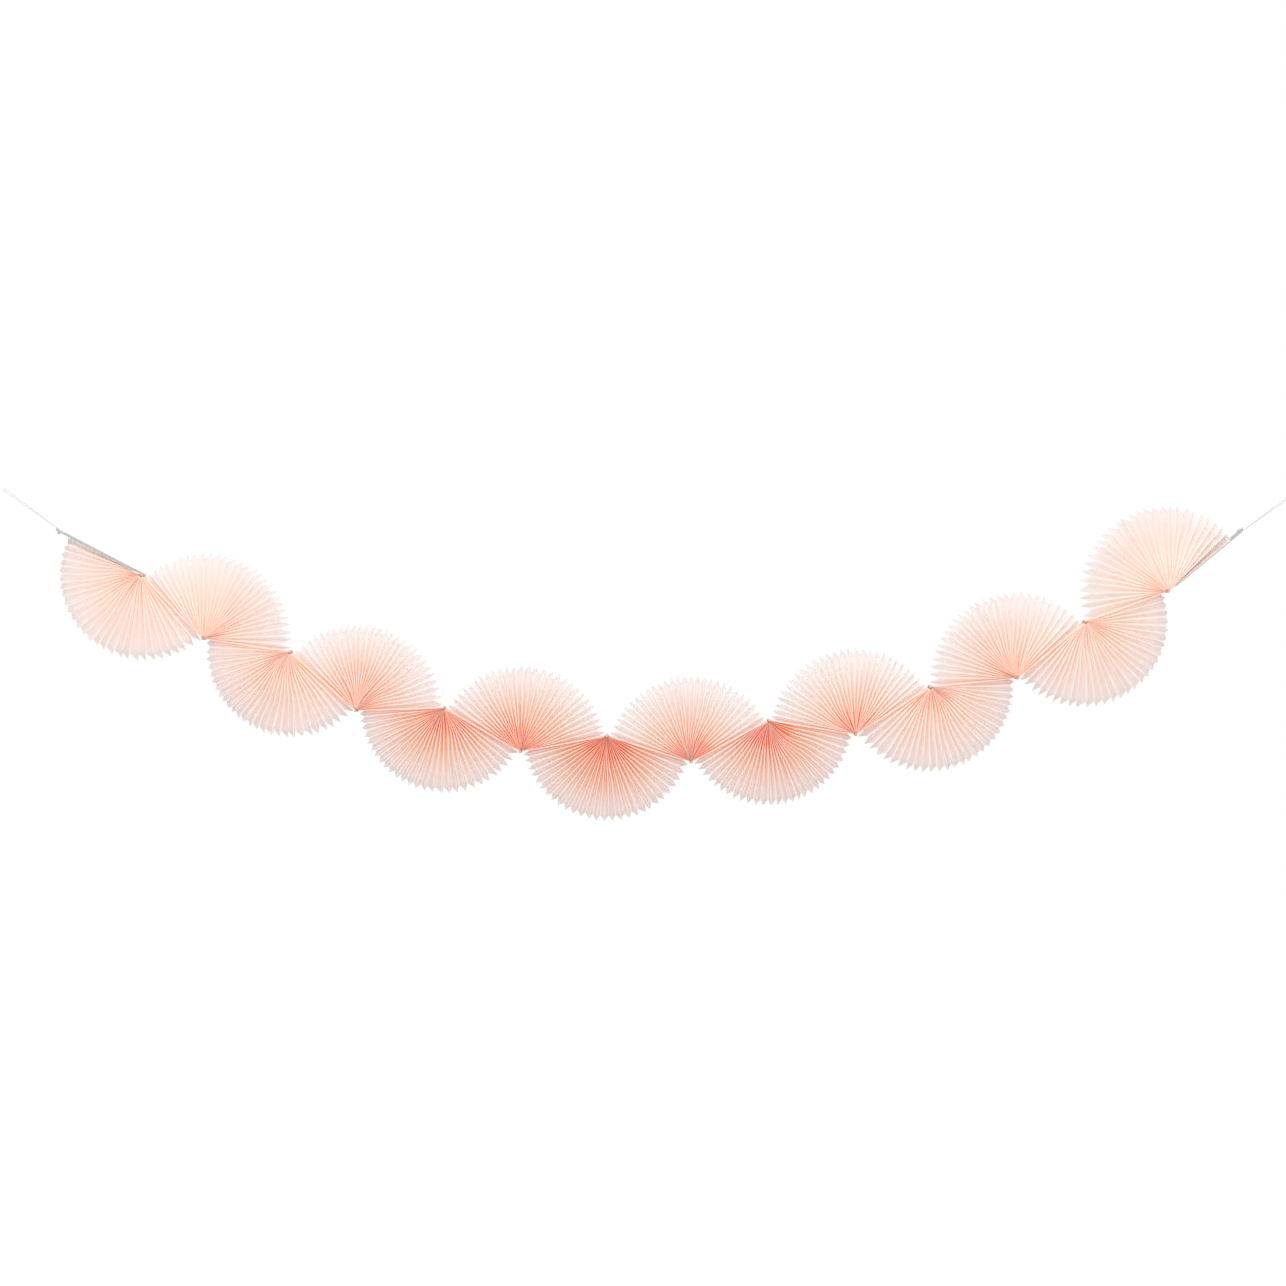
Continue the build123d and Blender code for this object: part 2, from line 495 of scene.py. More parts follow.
@dataclass
class Shell:
    """A thin closed sheet between two grids of the same points."""

    front: np.ndarray
    back: np.ndarray
    flipped: bool = False

    def mesh(self, name: str, flat: bool) -> bpy.types.Mesh:
        """Puts both grids and the rim between them into a mesh.

        Args:
            name: the mesh's name.
            flat: gives each face its own true normal. Deep pleats need it, because a bent normal
                swallows a little light at every bounce.

        Returns:
            The mesh, flat or smooth but for its rim.
        """
        rows, columns = self.front.shape[:2]
        count = rows * columns
        points = np.concatenate([self.front.reshape(-1, 3), self.back.reshape(-1, 3)])
        edge = border(rows, columns)
        ahead = np.roll(edge, -1)
        rim = np.stack([edge, edge + count, ahead + count, ahead], axis=-1)
        if self.flipped:
            rim = rim[:, ::-1]
        faces = np.concatenate(
            [
                grid_faces(rows, columns, 0, self.flipped),
                grid_faces(rows, columns, count, not self.flipped),
                rim,
            ]
        )
        made = mesh_of(name, points, faces)
        if flat:
            made.shade_flat()
            return made
        pairs = np.empty(2 * len(made.edges), np.int32)
        made.edges.foreach_get("vertices", pairs)
        on_rim = np.zeros(2 * count, bool)
        on_rim[edge] = on_rim[edge + count] = True
        mark = made.attributes.new("sharp_edge", "BOOLEAN", "EDGE")
        mark.data.foreach_set("value", on_rim[pairs.reshape(-1, 2)].all(axis=1))
        return made


def mesh_of(name: str, points: np.ndarray, faces: np.ndarray) -> bpy.types.Mesh:
    """A smooth mesh of points and faces of one size.

    Args:
        name: the mesh's name.
        points: one row of three numbers per point.
        faces: one row of point numbers per face.

    Returns:
        The mesh.
    """
    made = bpy.data.meshes.new(name)
    made.from_pydata(points.tolist(), [], faces.tolist())
    made.shade_smooth()
    made.update(calc_edges=True)
    return made


def write_values(mesh: bpy.types.Mesh, name: str, values: np.ndarray) -> None:
    """Stores one number per point in an attribute of the mesh."""
    layer = mesh.attributes.get(name) or mesh.attributes.new(name, "FLOAT", "POINT")
    layer.data.foreach_set("value", values.astype(np.float32).ravel())


def tube(path: np.ndarray, radius: np.ndarray, sides: int, closed: bool) -> tuple[np.ndarray, np.ndarray]:
    """A round tube along a path.

    Each ring lies across the path's direction. Its first side is carried along without twist: at
    each step the last side vector loses its part along the new direction.

    Args:
        path: points of the centre line.
        radius: the tube's radius at each point.
        sides: points in a ring.
        closed: joins the last ring to the first, and otherwise both ends are capped.

    Returns:
        The points and the faces.
    """
    ahead = np.roll(path, -1, axis=0) - np.roll(path, 1, axis=0)
    if not closed:
        ahead[0], ahead[-1] = path[1] - path[0], path[-1] - path[-2]
    ahead /= np.linalg.norm(ahead, axis=1, keepdims=True)
    side = np.zeros_like(ahead)
    last = np.cross(ahead[0], (0.31, 0.87, 0.39))
    for number, way in enumerate(ahead):
        last = last - way * (last @ way)
        last = last / np.linalg.norm(last)
        side[number] = last
    other = np.cross(ahead, side)
    turn = np.linspace(0, 2 * np.pi, sides, endpoint=False)
    ring = side[:, None] * np.cos(turn)[:, None] + other[:, None] * np.sin(turn)[:, None]
    points = (path[:, None] + ring * radius[:, None, None]).reshape(-1, 3)
    rows = len(path) if closed else len(path) - 1
    first = np.arange(rows)[:, None]
    around = np.arange(sides)[None, :]
    start, end = first * sides, ((first + 1) % len(path)) * sides
    step = (around + 1) % sides
    faces = np.stack(np.broadcast_arrays(start + around, start + step, end + step, end + around), axis=-1)
    faces = faces.reshape(-1, 4)
    if not closed:
        tips = len(points) + np.arange(2)
        points = np.concatenate([points, path[:1], path[-1:]])
        near, far = np.arange(sides), (len(path) - 1) * sides + np.arange(sides)
        caps = [
            np.stack([np.full(sides, tips[0]), np.roll(near, -1), near, near], axis=-1),
            np.stack([np.full(sides, tips[1]), far, np.roll(far, -1), np.roll(far, -1)], axis=-1),
        ]
        faces = np.concatenate([faces, *caps])
    return points, faces


def joined(parts: list[tuple[np.ndarray, np.ndarray]]) -> tuple[np.ndarray, np.ndarray]:
    """Several sets of points and faces as one."""
    counts = np.cumsum([0] + [len(points) for points, _ in parts[:-1]])
    points = np.concatenate([points for points, _ in parts])
    return points, np.concatenate([faces + count for (_, faces), count in zip(parts, counts)])


def tidy_faces(faces: np.ndarray) -> list[list[int]]:
    """Faces as lists, with a number that comes twice in a row left out."""
    return [list(dict.fromkeys(face)) for face in faces.tolist()]


def solid_piece(name: str, points: np.ndarray, faces: np.ndarray) -> bpy.types.Object:
    """An object of a closed set of faces, in which a triangle may be given as a quad."""
    made = bpy.data.meshes.new(name)
    made.from_pydata(points.tolist(), [], tidy_faces(faces))
    made.shade_smooth()
    made.update(calc_edges=True)
    return show(name, made)


def show(name: str, mesh: bpy.types.Mesh) -> bpy.types.Object:
    """Links an object for a mesh, at the origin."""
    piece = bpy.data.objects.new(name, mesh)
    bpy.context.scene.collection.objects.link(piece)
    return piece


@dataclass
class Workshop:
    """The finishes, and the way a piece gets one."""

    groups: Groups = field(default_factory=Groups)
    made: dict = field(default_factory=dict)

    def dress(self, piece: bpy.types.Object, finish, slot: Slot) -> None:
        """Gives a piece its finish.

        Args:
            piece: the object.
            finish: a finish, built once.
            slot: the record's slot; not used.
        """
        if finish not in self.made:
            self.made[finish] = finish.material(self.groups)
        piece.data.materials.clear()
        piece.data.materials.append(self.made[finish])


# rim, middle and near are painted light, the pink deepening towards the pivot; deep is painted shade in the
# valleys, most of all by the pivot; fold and ridge tint the crests with painted light; cut is painted shade on the
# teeth's tips
TISSUE_FINISH = TissueFinish(
    "blush tissue",
    rim=(0.990, 0.967, 0.964, 1),
    middle=(0.995, 0.957, 0.943, 1),
    near=(0.998, 0.958, 0.920, 1),
    deep=(0.997, 0.75, 0.45, 1),
    fold=(0.997, 0.94, 0.88, 1),
    ridge=(0.995, 0.94, 0.905, 1),
    cut=(0.955, 0.925, 0.92, 1),
    through=(1.0, 0.995, 0.99, 1),
)
GLUED_TISSUE = PlainFinish(
    "glue soaked tissue",
    colour=(1.0, 0.66, 0.52, 1),
    shade=(1.0, 0.54, 0.40, 1),
    cloud_scale=900.0,
    fibre_scale=1500.0,
    fibre_share=0.3,
    roughness=0.62,
    bump=0.0002,
    specular=0.2,
)
CHIPBOARD = PlainFinish(
    "grey chipboard",
    colour=(0.58, 0.56, 0.535, 1),
    shade=(0.48, 0.46, 0.435, 1),
    cloud_scale=700.0,
    fibre_scale=520.0,
    fibre_share=0.35,
    roughness=0.78,
    bump=0.0001,
)
COTTON = PlainFinish(
    "white cotton cord",
    colour=(0.84, 0.835, 0.825, 1),
    shade=(0.72, 0.715, 0.70, 1),
    cloud_scale=1800.0,
    fibre_scale=2600.0,
    fibre_share=0.5,
    roughness=0.8,
    bump=0.00008,
)


@dataclass
class PleatedFan:
    """One half fan: a sheet in a zigzag of front and back folds that all point at the pivot."""

    number: int
    pivot: np.ndarray
    start: float
    side: int
    opening: float
    body_before: str
    body_after: str
    # painted light and shade: how much paler the fan is painted, how much of that its rim is spared, and the
    # painted shade by its pivot
    pale: float
    rim_keeps: float
    pivot_shade: float
    unevenness: float = 0.15
    bunching: float = 0.35
    gathering: float = 0.4
    bow: float = 0.06
    crest: float = 0.5 * MM
    widest_crest: float = 0.24
    point: float = 1.3
    cut_edge: float = 0.8 * MM
    front_start: float = 3.3 * MM
    strips: int = 5
    rows: int = 18
    end_gap: float = END_LEAF / 2 + 0.08 * MM

    def fold_shares(self, rng: np.random.Generator) -> tuple[np.ndarray, np.ndarray]:
        """Where each fold stands, as a share of the opening, at the rim and near the pivot.

        At the rim a fold's number is moved by a small random part. Near the pivot each pleat takes
        a random part of the opening, and the folds are then pushed to and fro by slow waves, which
        bunch some pleats and part others.

        Args:
            rng: the fan's own random numbers.

        Returns:
            The shares at the rim and near the pivot.
        """
        even = np.arange(LEAVES + 1) / LEAVES
        inside = np.ones(LEAVES + 1)
        inside[[0, -1]] = 0
        loose = np.clip(rng.normal(0, self.unevenness, LEAVES + 1), -0.34, 0.34)
        slow = np.zeros(LEAVES + 1)
        for waves in (1, 2, 3):
            slow += rng.uniform(-1, 1) * np.sin(np.pi * waves * even) / (np.pi * waves)
        steepest = np.abs(np.gradient(slow, even)).max()
        slow *= self.bunching / max(steepest, 1e-6)
        rim = even + inside * loose / LEAVES + 0.25 * slow
        wide = np.exp(np.clip(rng.normal(0, self.gathering, PLEATS), -0.9, 0.9))
        forward = 0.5 + np.clip(rng.normal(0, self.unevenness / 2, PLEATS), -0.2, 0.2)
        leaves = np.stack([wide * forward, wide * (1 - forward)], axis=-1).ravel()
        near = np.concatenate([[0], np.cumsum(leaves)]) / leaves.sum()
        return rim, near + np.interp(near, even, slow)

    def painted_paleness(self, reach: np.ndarray) -> np.ndarray:
        """How much paler the fan is painted, a painted light, which is less towards the rim of some fans.

        Args:
            reach: the points' shares of the tips' radius.

        Returns:
            Shares of painted paleness, the same shape.
        """
        return self.pale * (1 - self.rim_keeps * smooth_step(reach, 0.35, 1.0))

    def sheet(self) -> tuple[np.ndarray, np.ndarray, np.ndarray, np.ndarray]:
        """The sheet's middle surface.

        A column runs from the inner edge to the outer one. Its valley is 0 on a front fold and 1 on
        a back fold, and straight in between, and it moves both ends' radii and the depth from the
        front fold's values to the back fold's. The share moves from the folds near the pivot to
        those at the rim, with a bow between two folds, and the heading is that share of what the
        gaps at both ends leave of the opening. A fold isn't a knife edge: the columns beside it
        stand off sideways by half the crest's width, and back from it by a quarter of that width.

        Returns:
            Points, shares of the opening, radii and valleys, each by row and column.
        """
        rng = np.random.default_rng(SEED + self.number)
        rim, near = self.fold_shares(rng)
        place = np.linspace(0, LEAVES, LEAVES * self.strips + 1)
        leaf = np.minimum(place.astype(int), LEAVES - 1)
        across = place - leaf
        # the first and last column of a leaf between its folds are the edges of their rounded crests
        inside = (across > 0) & (place < LEAVES)
        across = np.where(inside, np.clip((across * self.strips - 1) / (self.strips - 2), 0, 1), across)
        valley = np.where(leaf % 2 == 0, across, 1 - across)
        folds = np.arange(LEAVES + 1)
        at_rim, at_pivot = (np.interp(leaf + across, folds, shares) for shares in (rim, near))
        bows = rng.normal(0, self.bow, LEAVES)[leaf] * np.sin(np.pi * across) / LEAVES
        cut = 1 - self.cut_edge / TIP_RADIUS
        along = np.append(np.linspace(0, cut, self.rows - 1), 1)[:, None]
        inner = self.front_start + (BACK_FOLD_START - self.front_start) * valley
        outer = NOTCH_RADIUS + (TIP_RADIUS - NOTCH_RADIUS) * valley**self.point
        radius = inner + (outer - inner) * along
        blend = smooth_step(radius, 0.0, 0.6 * TIP_RADIUS)
        share = at_pivot + (at_rim - at_pivot) * blend + bows * np.sin(np.pi * along**0.7)
        margin = np.degrees(np.arcsin(self.end_gap / radius))
        lean = math.radians(self.opening) * radius / LEAVES
        crest = inside * np.minimum(self.crest, self.widest_crest * lean)
        shift = np.degrees(crest * (1 - 2 * across) / radius)
        heading = self.start + self.side * (margin + share * (self.opening - 2 * margin) + shift)
        depth = (crest / 2 - np.sqrt(PLEAT_DEPTH**2 - lean**2) / 2) * (1 - 2 * valley)
        return polar(self.pivot, heading, radius, depth), share, radius, np.broadcast_to(valley, radius.shape)

    def build(self, shop: Workshop) -> bpy.types.Object:
        """Makes the fan's piece, which opens and closes leaf by leaf between its two bodies.

        Args:
            shop: the finishes.

        Returns:
            The piece.
        """
        points, share, radius, valley = self.sheet()
        half = np.array([0, TISSUE / 2, 0])
        shell = Shell(points - half, points + half, flipped=self.side < 0)
        mesh = shell.mesh(f"tissue_fan_{self.number:02d}", flat=True)
        twice = lambda values: np.concatenate([values.ravel(), values.ravel()])
        write_values(mesh, "reach", twice(radius / TIP_RADIUS))
        write_values(mesh, "valley", twice(valley))
        # painted light: how much paler the leaves are painted; painted shade: how much the valleys deepen by the
        # pivot
        write_values(mesh, "fade", twice(self.painted_paleness(radius / TIP_RADIUS)))
        write_values(mesh, "pivot_shade", np.full(2 * radius.size, self.pivot_shade))
        edge = np.zeros(radius.shape)
        edge[-1] = 1
        write_values(mesh, "edge", twice(edge))
        piece = show(f"tissue_fan_{self.number:02d}", mesh)
        shop.dress(piece, TISSUE_FINISH, Slot.TISSUE)
        ends = polar(
            self.pivot,
            self.start + self.side * np.array([0, self.opening]),
            np.full(2, TIP_RADIUS),
            np.zeros(2),
        )
        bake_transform(piece, self.body_before, self.body_after, start=tuple(ends[0]), end=tuple(ends[1]))
        # each leaf turns by its own share of the opening, at every radius
        write_values(mesh, "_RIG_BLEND", twice(np.clip(share, 0, 1)))
        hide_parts(f"fan_{self.number:02d}")
        LOG.info("fan %d: opening %.1f, %d points", self.number, self.opening, len(mesh.vertices))
        return piece


@dataclass
class GlueBead:
    """The glue line on a fan's axis, in which the inner ends of all leaves are set."""

    number: int
    pivot: np.ndarray
    body: str
    ridges: int = PLEATS
    ridge_height: float = 0.22 * MM
    around: int = 112
    rows: int = 26

    def build(self, shop: Workshop) -> bpy.types.Object:
        """Makes the bead's piece.

        A closed surface of rings about Y: the ring's radius rises from 0 at each end as a quarter
        of an ellipse, and swells and narrows a little with noise and with one ridge per pleat.

        Args:
            shop: the finishes.

        Returns:
            The piece.
        """
        rng = np.random.default_rng(SEED + 100 + self.number)
        turn = np.linspace(0, 2 * np.pi, self.around, endpoint=False)
        long = np.linspace(-1, 1, self.rows)[1:-1, None]
        half = PLEAT_DEPTH / 2 - BEAD_INSET
        profile = np.sqrt(1 - np.abs(long) ** 6)
        waves = 1 + 0.05 * np.sin(3 * turn + rng.uniform(0, 6)) * np.cos(4 * long + rng.uniform(0, 6))
        ridge = self.ridge_height * (np.cos(2 * self.ridges * turn) - 1) / 2
        radius = (BEAD_RADIUS * waves + ridge) * profile * 0.97
        points = np.stack(
            [radius * np.cos(turn), np.broadcast_to(long * half, radius.shape), radius * np.sin(turn)],
            axis=-1,
        )
        count = points.shape[0] * points.shape[1]
        tips = np.array([[0, -half, 0], [0, half, 0]])
        at = np.arange(count).reshape(points.shape[:2])
        ahead = np.roll(at, -1, axis=1)
        quads = np.stack([at[:-1], at[1:], ahead[1:], ahead[:-1]], axis=-1).reshape(-1, 4)
        near = np.stack([np.full(self.around, count), at[0], ahead[0], ahead[0]], axis=-1)
        far = np.stack([np.full(self.around, count + 1), ahead[-1], at[-1], at[-1]], axis=-1)
        everything = np.concatenate([points.reshape(-1, 3), tips]) + self.pivot
        piece = solid_piece(f"glued_core_{self.number:02d}", everything, np.concatenate([quads, near, far]))
        shop.dress(piece, GLUED_TISSUE, Slot.GLUE)
        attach(piece, self.body)
        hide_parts(f"glue_bead_{self.number:02d}")
        return piece


@dataclass
class FlatLeaf:
    """A flat leaf from a pivot along one heading: two end leaves back to back, or the one on a card."""

    node: str
    pivot: np.ndarray
    heading: float
    back_end: float
    front_end: float
    body: str
    both_pivots: bool
    seed: int
    warp: float = 0.35 * MM
    rows: int = 40
    columns: int = 9

    def build(self, shop: Workshop) -> bpy.types.Object:
        """Makes the leaf's piece.

        A grid from the slanted inner end to the slanted outer end and from the front edge to the
        back edge. It leaves its plane by slow waves that grow from none at the front edge.

        Args:
            shop: the finishes.

        Returns:
            The piece.
        """
        rng = np.random.default_rng(SEED + 200 + self.seed)
        across = np.linspace(0, 1, self.columns)
        inner = FRONT_FOLD_START + (BACK_FOLD_START - FRONT_FOLD_START) * across
        outer = self.front_end + (self.back_end - self.front_end) * across
        along = np.linspace(0, 1, self.rows)[:, None]
        radius = inner + (outer - inner) * along
        depth = np.broadcast_to((across - 0.5) * PLEAT_DEPTH, radius.shape)
        wave = sum(
            rng.uniform(-1, 1) * np.sin(np.pi * count * along + rng.uniform(0, 6)) / count
            for count in (1, 2, 4, 7)
        )
        lift = self.warp * across**1.5 * wave * np.sin(np.pi * along)
        flat = polar(self.pivot, np.full(radius.shape, self.heading), radius, depth)
        turn = math.radians(self.heading)
        up = np.array([-math.sin(turn), 0, math.cos(turn)])
        middle = flat + lift[..., None] * up
        half = up * END_LEAF / 2
        # rows run outwards and columns along +Y, so the first grid faces the lower side
        shell = Shell(middle + half, middle - half, flipped=True)
        name = self.node.replace("leaf", "tissue_leaf")
        mesh = shell.mesh(name, flat=False)
        reach = radius / TIP_RADIUS
        if self.both_pivots:
            reach = np.minimum(reach, (LINK_LENGTH - radius) / TIP_RADIUS)
            reach = np.maximum(reach, 0)
        write_values(mesh, "reach", np.concatenate([reach.ravel(), reach.ravel()]))
        valley = np.broadcast_to(across, radius.shape)
        write_values(mesh, "valley", np.concatenate([valley.ravel(), valley.ravel()]))
        piece = show(name, mesh)
        shop.dress(piece, TISSUE_FINISH, Slot.TISSUE)
        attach(piece, self.body)
        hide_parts(self.node)
        return piece


@dataclass
class HangingLoop:
    """A doubled cord from its knot, through the card's hole and over the card to the eye, and back."""

    end: End
    pivot: np.ndarray
    outward: float
    eye: np.ndarray
    body: str
    length: float
    lay_length: float = 3.2 * MM
    strands: int = 3
    sides: int = 8

    def frame(self) -> tuple[np.ndarray, np.ndarray]:
        """Unit vectors along the card, outward, and square to it on the garland's side."""
        turn = math.radians(self.outward)
        out = np.array([math.cos(turn), 0, math.sin(turn)])
        return out, np.array([-out[2], 0, out[0]])

    def knot_centre(self) -> np.ndarray:
        """The middle of the knot, on the card's inner side."""
        out, inward = self.frame()
        return self.pivot + out * HOLE_REACH + inward * (KNOT_RADIUS - END_LEAF / 2)

    def route(self) -> np.ndarray:
        """The route's points: the knot, over the card's edge of the hole, and round the eye."""
        out, inward = self.frame()
        outer_face = END_LEAF / 2 + CARD_THICKNESS
        over = self.pivot + out * HOLE_REACH - inward * (outer_face + CORD_RADIUS + SEAT_GAP)
        run = self.eye - over
        run = run / np.linalg.norm(run)
        across = np.cross(run, (0, 1, 0))
        side = np.array([0, STRAND_SPREAD, 0])
        knot = self.knot_centre()
        near_card = run * 4.0 * MM
        near_eye = run * -6.0 * MM
        first = self.eye + run * EYE_RADIUS + across * EYE_RADIUS
        second = self.eye + run * EYE_RADIUS - across * EYE_RADIUS
        return np.array(
            [
                knot - side,
                over - side,
                over - side + near_card,
                first + near_eye,
                first,
                second,
                second + near_eye,
                over + side + near_card,
                over + side,
                knot + side,
            ]
        )

    def centre_line(self) -> np.ndarray:
        """The points of the route's smooth curve, close together."""
        curve = bpy.data.curves.new("route", "CURVE")
        curve.dimensions = "3D"
        curve.resolution_u = 40
        route = self.route()
        spline = curve.splines.new("NURBS")
        spline.points.add(len(route) - 1)
        spline.points.foreach_set("co", np.c_[route, np.ones(len(route))].ravel())
        spline.order_u = 3
        spline.use_endpoint_u = True
        holder = bpy.data.objects.new("route", curve)
        bpy.context.scene.collection.objects.link(holder)
        bpy.context.view_layer.update()
        mesh = bpy.data.meshes.new_from_object(holder)
        line = np.empty(3 * len(mesh.vertices))
        mesh.vertices.foreach_get("co", line)
        bpy.data.objects.remove(holder)
        bpy.data.meshes.remove(mesh)
        bpy.data.curves.remove(curve)
        return line.reshape(-1, 3)

    def build_cord(self, shop: Workshop, knot: bpy.types.Object) -> bpy.types.Object:
        """Makes the cord: three strands, each a helix about the centre line.

        The centre line is read at even steps. A strand's middle lies half the cord's radius from
        it, and turns once in each lay length.

        Args:
            shop: the finishes.
            knot: the knot's piece, which is on this cord; not used.

        Returns:
            The piece.
        """
        line = self.centre_line()
        step = np.linalg.norm(np.diff(line, axis=0), axis=1)
        gone = np.concatenate([[0], np.cumsum(step)])
        even = np.linspace(0, gone[-1], int(gone[-1] / (0.32 * MM)))
        path = np.stack([np.interp(even, gone, line[:, axis]) for axis in range(3)], axis=-1)
        ahead = np.gradient(path, axis=0)
        ahead /= np.linalg.norm(ahead, axis=1, keepdims=True)
        side = np.zeros_like(ahead)
        last = np.array([0.0, 1.0, 0.0])
        for number, way in enumerate(ahead):
            last = last - way * (last @ way)
            last = last / np.linalg.norm(last)
            side[number] = last
        other = np.cross(ahead, side)
        parts = []
        for strand in range(self.strands):
            turn = 2 * np.pi * (even / self.lay_length + strand / self.strands)
            offset = side * np.cos(turn)[:, None] + other * np.sin(turn)[:, None]
            parts.append(
                tube(path + offset * CORD_RADIUS * 0.45, np.full(len(path), CORD_RADIUS * 0.62), self.sides, False)
            )
        piece = solid_piece(f"{self.end.value}_cord_loop", *joined(parts))
        shop.dress(piece, COTTON, Slot.CORD)
        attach(piece, self.body)
        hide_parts(f"{self.end.value}_hanging_loop")
        LOG.info("%s loop: cord %.1f mm", self.end.value, gone[-1] / MM)
        return piece

    def build_knot(self, shop: Workshop) -> bpy.types.Object:
        """Makes the knot: one cord in the three crossings of an overhand knot, and two short tails.

        The knot's curve is x = sin t + 2 sin 2t, y = cos t - 2 cos 2t, z = -sin 3t.

        Args:
            shop: the finishes.

        Returns:
            The piece.
        """
        out, inward = self.frame()
        deep = np.array([0.0, 1.0, 0.0])
        turn = np.linspace(0, 2 * np.pi, 90, endpoint=False)
        wide = (KNOT_RADIUS - CORD_RADIUS) / 3
        tall = KNOT_RADIUS - CORD_RADIUS - 0.2 * MM
        centre = self.knot_centre()
        loop = (
            centre
            + (np.sin(turn) + 2 * np.sin(2 * turn))[:, None] * wide * out
            + (np.cos(turn) - 2 * np.cos(2 * turn))[:, None] * wide * deep
            - np.sin(3 * turn)[:, None] * tall * inward
        )
        parts = [tube(loop, np.full(len(loop), CORD_RADIUS), 12, True)]
        reach = np.linspace(0, 1, 14)[:, None]
        for way in (-1, 1):
            tail = (
                centre
                + deep * way * (0.6 * MM + 1.4 * MM * reach**1.5)
                + inward * (0.5 * MM + 1.6 * MM * reach)
                + out * (3.0 * MM * reach + way * 0.8 * MM * np.sin(2.2 * reach))
            )
            thin = CORD_RADIUS * (0.95 - 0.25 * reach[:, 0])
            parts.append(tube(tail, thin, 10, False))
        piece = solid_piece(f"{self.end.value}_cord_knot", *joined(parts))
        shop.dress(piece, COTTON, Slot.CORD)
        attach(piece, self.body)
        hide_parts(f"{self.end.value}_loop_knot")
        return piece


@dataclass
class Garland:
    """The whole garland, walked from the left end to the right one."""

    joints: list
    nodes: dict
    shop: Workshop = field(default_factory=Workshop)
    # where along the garland the fans are painted darker or paler, and how much painted shade lies by their pivots
    dark_down_share: float = 0.463
    dark_down_width: float = 0.163
    dark_up_share: float = 0.407
    dark_up_width: float = 0.106
    most_pivot_shade_share: float = 0.52
    pivot_shade_width_share: float = 0.15
    most_pivot_shade: float = 1.0
    least_pivot_shade: float = 0.1
    pivot_shade_up_share: float = 0.7
    pale_up: float = 0.60
    pale_down: float = 0.75

    def pivots(self) -> list[np.ndarray]:
        """The fans' pivots, which are the joints' places."""
        return [np.array(joint["pos_m"]) for joint in self.joints]

    def headings(self, pivots: list[np.ndarray]) -> list[float]:
        """Headings from each place to the next, in degrees, with both cards' at the ends."""
        steps = np.diff(np.array(pivots), axis=0)
        links = np.degrees(np.arctan2(steps[:, 2], steps[:, 0])).tolist()
        return [LEFT_CARD_HEADING, *links, RIGHT_CARD_HEADING]

    def fade(self, side: int, share: float) -> tuple[float, float, float]:
        """How much paler a fan is painted, a painted light, how much of that its rim is spared, and its painted
        shade by the pivot.

        The colour is deepest left of the middle, by a bell curve along the garland, and more so in
        the fans that point down, and elsewhere it is painted paler. The painted shade by the glue
        follows a bell curve of its own.

        Args:
            side: 1 for a fan that points down and -1 for one that points up.
            share: the fan's place along the garland.

        Returns:
            The share by which the fan is painted paler, the part of it that the rim is spared, and the painted
            shade.
        """
        bell = math.exp(-(((share - self.most_pivot_shade_share) / self.pivot_shade_width_share) ** 2))
        pivot_shade = self.least_pivot_shade + (self.most_pivot_shade - self.least_pivot_shade) * bell
        if side > 0:
            dark = math.exp(-(abs((share - self.dark_down_share) / self.dark_down_width) ** 3))
            return self.pale_down * (1 - dark), 0.85, pivot_shade
        dark = math.exp(-(((share - self.dark_up_share) / self.dark_up_width) ** 2))
        off_middle = abs(2 * share - 1)
        pale = self.pale_up + 0.45 * off_middle**3 - 0.2 * dark
        return pale, min(1.15 * off_middle**2, 1.0), pivot_shade * self.pivot_shade_up_share

    def build_fans(self, pivots: list[np.ndarray], headings: list[float]) -> None:
        """Makes every fan with its glued core."""
        right_eye = pivots[0][0] + pivots[-1][0]
        for index, (joint, pivot) in enumerate(zip(self.joints, pivots)):
            side = -int(joint["axis"][1])
            opening = 180 + side * (headings[index + 1] - headings[index])
            fan = PleatedFan(
                index + 1,
                pivot,
                headings[index] + 180,
                side,
                opening,
                joint["parent"],
                joint["child"],
                *self.fade(side, pivot[0] / right_eye),
            )
            fan.build(self.shop)
            GlueBead(index + 1, pivot, joint["parent"]).build(self.shop)

    def build_leaves(self, pivots: list[np.ndarray], headings: list[float]) -> None:
        """Makes the shared leaves and the two on the cards."""
        for index, joint in enumerate(self.joints[:-1]):
            FlatLeaf(
                f"shared_leaf_{index + 1:02d}_{index + 2:02d}",
                pivots[index],
                headings[index + 1],
                LINK_LENGTH - BEAD_RADIUS,
                LINK_LENGTH - FRONT_FOLD_START,
                joint["child"],
                True,
                index,
            ).build(self.shop)
        ends = (
            (End.LEFT, pivots[0], LEFT_CARD_HEADING + 180, self.joints[0]["parent"]),
            (End.RIGHT, pivots[-1], RIGHT_CARD_HEADING, self.joints[-1]["child"]),
        )
        for end, pivot, heading, body in ends:
            node = f"{end.value}_end_leaf"
            FlatLeaf(node, pivot, heading, TIP_RADIUS, NOTCH_RADIUS, body, False, 50, warp=0.0).build(self.shop)

    def build_ends(self, pivots: list[np.ndarray]) -> None:
        """Makes the loops and knots, and gives the cards their finish."""
        turn = math.radians(RIGHT_LOOP_HEADING)
        card = math.radians(RIGHT_CARD_HEADING)
        hole = pivots[-1] + HOLE_REACH * np.array([math.cos(card), 0, math.sin(card)])
        right_eye = hole + LOOP_LENGTH * np.array([math.cos(turn), 0, math.sin(turn)])
        ends = (
            (End.LEFT, pivots[0], LEFT_CARD_HEADING + 180, np.zeros(3), self.joints[0]["parent"], 0.2104),
            (End.RIGHT, pivots[-1], RIGHT_CARD_HEADING, right_eye, self.joints[-1]["child"], 0.2106),
        )
        for end, pivot, outward, eye, body, length in ends:
            loop = HangingLoop(end, pivot, outward, eye, body, length)
            loop.build_cord(self.shop, loop.build_knot(self.shop))
            self.shop.dress(self.nodes[f"{end.value}_end_card"], CHIPBOARD, Slot.CHIPBOARD)

